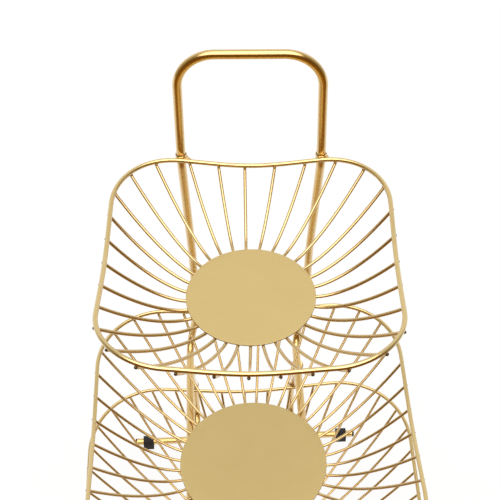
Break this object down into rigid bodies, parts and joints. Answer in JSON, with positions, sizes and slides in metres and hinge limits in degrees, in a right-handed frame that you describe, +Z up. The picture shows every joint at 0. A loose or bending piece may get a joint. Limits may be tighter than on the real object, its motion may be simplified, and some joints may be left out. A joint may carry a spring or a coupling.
{
  "type": "tiered fruit basket",
  "caption": "Tiered countertop fruit basket: square-round bowls of bent gold wire on a tube stand with a carrying handle.",
  "frame": {"origin": "on the floor, under the middle of the stand's whole width and depth", "axes": "+Z up, +Y towards the back where the posts and handle stand, +X to the right seen from the front"},
  "size_m": [0.3624, 0.3798, 0.5982],
  "materials": {
    "gold_tube": "satin champagne gold, lacquered steel tube",
    "gold_wire": "satin champagne gold, lacquered steel wire",
    "gold_plate": "matt champagne gold, lacquered sheet steel and thin wire",
    "black_rubber": "matt black rubber"
  },
  "bodies": {
    "base_stand": {"base_left_rail": "gold_tube", "base_right_rail": "gold_tube", "base_front_bar": "gold_tube", "base_back_bar": "gold_tube", "front_left_foot": "black_rubber", "front_right_foot": "black_rubber", "back_left_foot": "black_rubber", "back_right_foot": "black_rubber", "rail_left_cap": "black_rubber", "rail_right_cap": "black_rubber", "front_bar_left_cap": "black_rubber", "front_bar_right_cap": "black_rubber", "back_bar_left_cap": "black_rubber", "back_bar_right_cap": "black_rubber"},
    "bottom_bowl": {"bottom_rim": "gold_wire", "bottom_plate_and_spokes": "gold_plate", "bottom_left_collar": "gold_tube", "bottom_right_collar": "gold_tube"},
    "lower_posts": {"lower_left_post": "gold_tube", "lower_right_post": "gold_tube"},
    "middle_stand": {"left_arm": "gold_tube", "right_arm": "gold_tube", "middle_front_crossbar": "gold_tube", "middle_back_crossbar": "gold_tube", "left_socket": "gold_tube", "right_socket": "gold_tube", "arm_left_cap": "black_rubber", "arm_right_cap": "black_rubber"},
    "middle_bowl": {"middle_rim": "gold_wire", "middle_plate_and_spokes": "gold_plate", "middle_left_collar": "gold_tube", "middle_right_collar": "gold_tube"},
    "upper_posts": {"upper_left_post": "gold_tube", "upper_right_post": "gold_tube"},
    "top_bowl": {"top_rim": "gold_wire", "top_plate_and_spokes": "gold_plate", "top_left_collar": "gold_tube", "top_right_collar": "gold_tube"},
    "carrying_handle": {"handle": "gold_tube"}
  },
  "joints": [
    {"name": "bottom_bowl_lift", "type": "slide", "parent": "base_stand", "child": "bottom_bowl", "axis": [0, -0.4977, 0.8673], "range_m": [0, 0.02]},
    {"name": "lower_posts_lift", "type": "slide", "parent": "bottom_bowl", "child": "lower_posts", "axis": [0, -0.4977, 0.8673], "range_m": [0, 0.02]},
    {"name": "middle_stand_lift", "type": "slide", "parent": "lower_posts", "child": "middle_stand", "axis": [0, -0.4977, 0.8673], "range_m": [0, 0.03]},
    {"name": "middle_bowl_lift", "type": "slide", "parent": "middle_stand", "child": "middle_bowl", "axis": [0, -0.1492, 0.9888], "range_m": [0, 0.02]},
    {"name": "upper_posts_lift", "type": "slide", "parent": "middle_bowl", "child": "upper_posts", "axis": [0, -0.1492, 0.9888], "range_m": [0, 0.02]},
    {"name": "top_bowl_lift", "type": "slide", "parent": "upper_posts", "child": "top_bowl", "axis": [0, 0, 1], "range_m": [0, 0.02]},
    {"name": "handle_lift", "type": "slide", "parent": "top_bowl", "child": "carrying_handle", "axis": [0, 0, 1], "range_m": [0, 0.02]}
  ]
}
